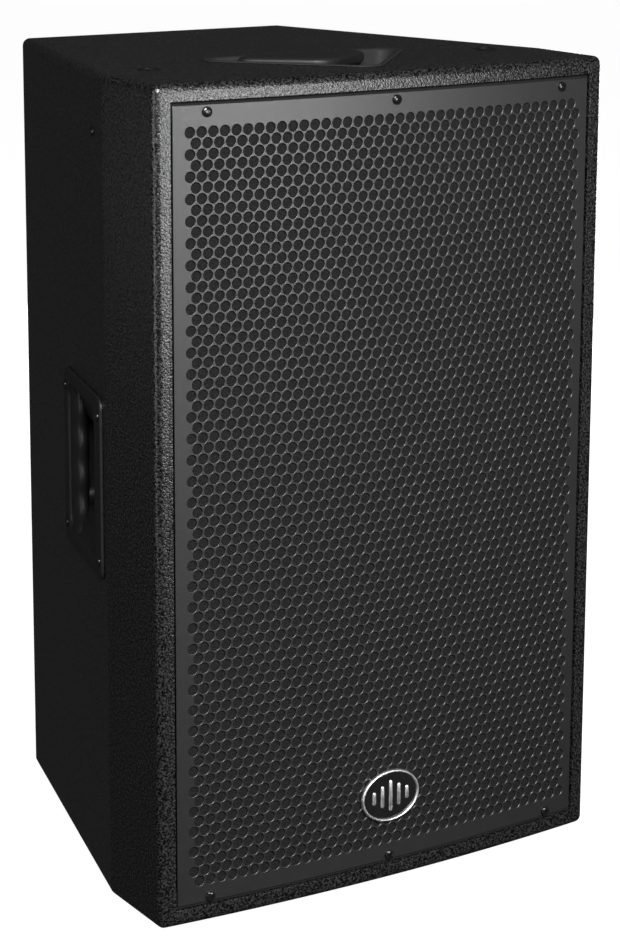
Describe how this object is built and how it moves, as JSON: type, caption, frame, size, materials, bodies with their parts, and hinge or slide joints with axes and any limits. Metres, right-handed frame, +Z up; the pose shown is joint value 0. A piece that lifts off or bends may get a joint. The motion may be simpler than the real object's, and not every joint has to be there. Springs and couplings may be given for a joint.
{
  "type": "pa speaker cabinet",
  "caption": "Passive loudspeaker cabinet with a bowed perforated grille, tapered sides, recessed side and top carrying handles, an oval badge, rear sockets, a pole socket and rubber feet.",
  "frame": {"origin": "the middle of the object's bounding box in plan, on the floor under the rubber feet", "axes": "+Z up, the grille faces -Y, the connector plate faces +Y, +X to the right of a person who faces the grille"},
  "size_m": [0.4502, 0.4208, 0.7235],
  "materials": {
    "textured_paint": "plywood under black sprayed paint with a fine orange-peel texture, semi-matt",
    "grille_paint": "perforated steel sheet, dark grey satin powder coat",
    "foam": "open-cell acoustic foam behind the grille, matt black",
    "chrome": "bright chromed ring",
    "badge_black": "gloss black badge face",
    "black_steel": "blackened steel, slight sheen",
    "moulding": "moulded black plastic, semi-matt",
    "rubber": "matt black rubber",
    "lead_rubber": "insulated lead, matt black",
    "paper_cone": "black pressed paper",
    "treated_cloth": "resin-treated cloth",
    "cast_frame": "cast frame, satin black",
    "plated_steel": "zinc-plated machined steel",
    "ferrite": "sintered ferrite, dark grey, matt",
    "titanium_foil": "thin formed metal foil",
    "copper": "enamelled copper wire",
    "circuit_board": "green glass-fibre board",
    "felt": "grey acoustic felt",
    "plywood": "bare birch plywood"
  },
  "bodies": {
    "cabinet": {"top_panel": "textured_paint", "bottom_panel": "textured_paint", "cheek_panel_left": "textured_paint", "cheek_panel_right": "textured_paint", "wing_panel_left": "textured_paint", "wing_panel_right": "textured_paint", "rear_panel": "textured_paint", "front_baffle": "textured_paint", "shelf_brace": "plywood", "grille_rail_top": "plywood", "grille_rail_bottom": "plywood", "grille": "grille_paint", "grille_foam": "foam", "grille_screw_1": "black_steel", "grille_screw_2": "black_steel", "grille_screw_3": "black_steel", "grille_screw_4": "black_steel", "grille_screw_5": "black_steel", "grille_screw_6": "black_steel", "badge_ring": "chrome", "badge_plate": "badge_black", "handle_left": "moulding", "handle_right": "moulding", "handle_top": "moulding", "fly_point_top_left": "black_steel", "fly_point_top_right": "black_steel", "fly_point_side_left": "black_steel", "fly_point_side_right": "black_steel", "fly_point_rear": "black_steel", "connector_plate": "black_steel", "speaker_socket_1": "moulding", "speaker_socket_2": "moulding", "pole_socket": "moulding", "foot_1": "rubber", "foot_2": "rubber", "foot_3": "rubber", "foot_4": "rubber", "woofer_frame": "cast_frame", "woofer_gasket": "rubber", "woofer_surround": "treated_cloth", "woofer_spider": "treated_cloth", "woofer_top_plate": "plated_steel", "woofer_magnet": "ferrite", "woofer_pole_plate": "plated_steel", "horn_waveguide": "moulding", "hf_driver_magnet": "ferrite", "hf_suspension": "treated_cloth", "hf_driver_cover": "moulding", "port_tube_left": "moulding", "port_tube_right": "moulding", "crossover_board": "circuit_board", "crossover_inductor": "copper", "crossover_capacitor": "moulding", "woofer_lead": "lead_rubber", "hf_lead": "lead_rubber", "acoustic_lining": "felt"},
    "woofer_cone_assembly": {"woofer_cone": "paper_cone", "woofer_dust_cap": "paper_cone", "woofer_voice_coil": "copper"},
    "hf_diaphragm_assembly": {"hf_diaphragm": "titanium_foil"}
  },
  "joints": [
    {"name": "woofer_travel", "type": "slide", "parent": "cabinet", "child": "woofer_cone_assembly", "axis": [0, -1, 0], "range_m": [-0.006, 0.006], "stiffness_N_per_m": 6700, "deforming": ["woofer_surround", "woofer_spider"]},
    {"name": "hf_travel", "type": "slide", "parent": "cabinet", "child": "hf_diaphragm_assembly", "axis": [0, -1, 0], "range_m": [-0.0004, 0.0004], "stiffness_N_per_m": 5000, "deforming": ["hf_suspension"]}
  ]
}
